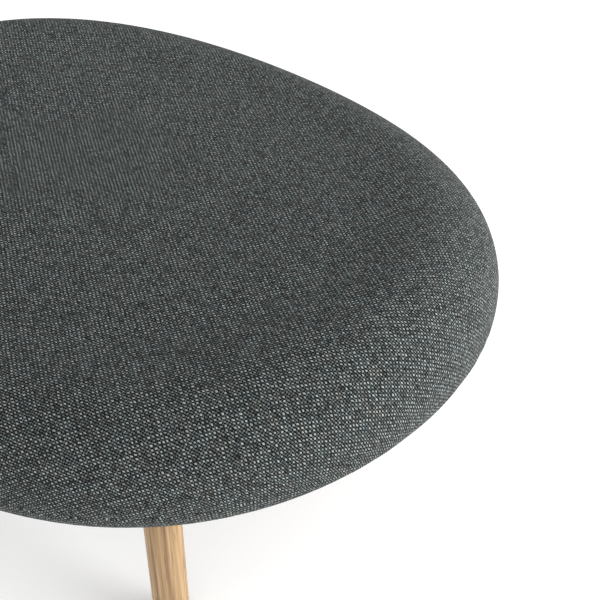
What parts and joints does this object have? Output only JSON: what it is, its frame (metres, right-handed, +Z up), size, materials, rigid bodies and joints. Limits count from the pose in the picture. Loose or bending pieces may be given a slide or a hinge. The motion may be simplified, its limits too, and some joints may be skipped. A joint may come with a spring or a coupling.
{
  "type": "ottoman",
  "caption": "Low oval ottoman: a dished pad in tweedy grey-green woven fabric, rolled over at its edge, on short splayed round oak legs.",
  "frame": {"origin": "On the floor, under the middle of the seat.", "axes": "+X along the longer side of the oval, +Y towards the rear, +Z up."},
  "size_m": [0.7, 0.584, 0.3615],
  "materials": {
    "woven_fabric": "plain weave, heathered",
    "fibre_wadding": "soft, matt",
    "seat_foam": "open cell, matt",
    "bent_plywood": "sanded, unsealed",
    "dust_cloth": "thin nonwoven, matt",
    "plate_steel": "zinc plated",
    "screw_steel": "zinc plated",
    "oak": "matt lacquer",
    "nylon": "moulded",
    "felt": "pressed felt"
  },
  "bodies": {
    "root": {"seat_cover": "woven_fabric", "seat_wadding": "fibre_wadding", "seat_foam": "seat_foam", "base_board": "bent_plywood", "dust_cover": "dust_cloth", "leg_plate_front_right": "plate_steel", "leg_plate_front_left": "plate_steel", "leg_plate_rear_right": "plate_steel", "leg_plate_rear_left": "plate_steel", "leg_plate_screws": "screw_steel", "leg_front_right": "oak", "leg_front_left": "oak", "leg_rear_right": "oak", "leg_rear_left": "oak", "leg_bolt_front_right": "screw_steel", "leg_bolt_front_left": "screw_steel", "leg_bolt_rear_right": "screw_steel", "leg_bolt_rear_left": "screw_steel", "leg_glide_front_right": "nylon", "leg_glide_front_left": "nylon", "leg_glide_rear_right": "nylon", "leg_glide_rear_left": "nylon", "glide_felt_front_right": "felt", "glide_felt_front_left": "felt", "glide_felt_rear_right": "felt", "glide_felt_rear_left": "felt", "glide_screws": "screw_steel"}
  },
  "joints": []
}
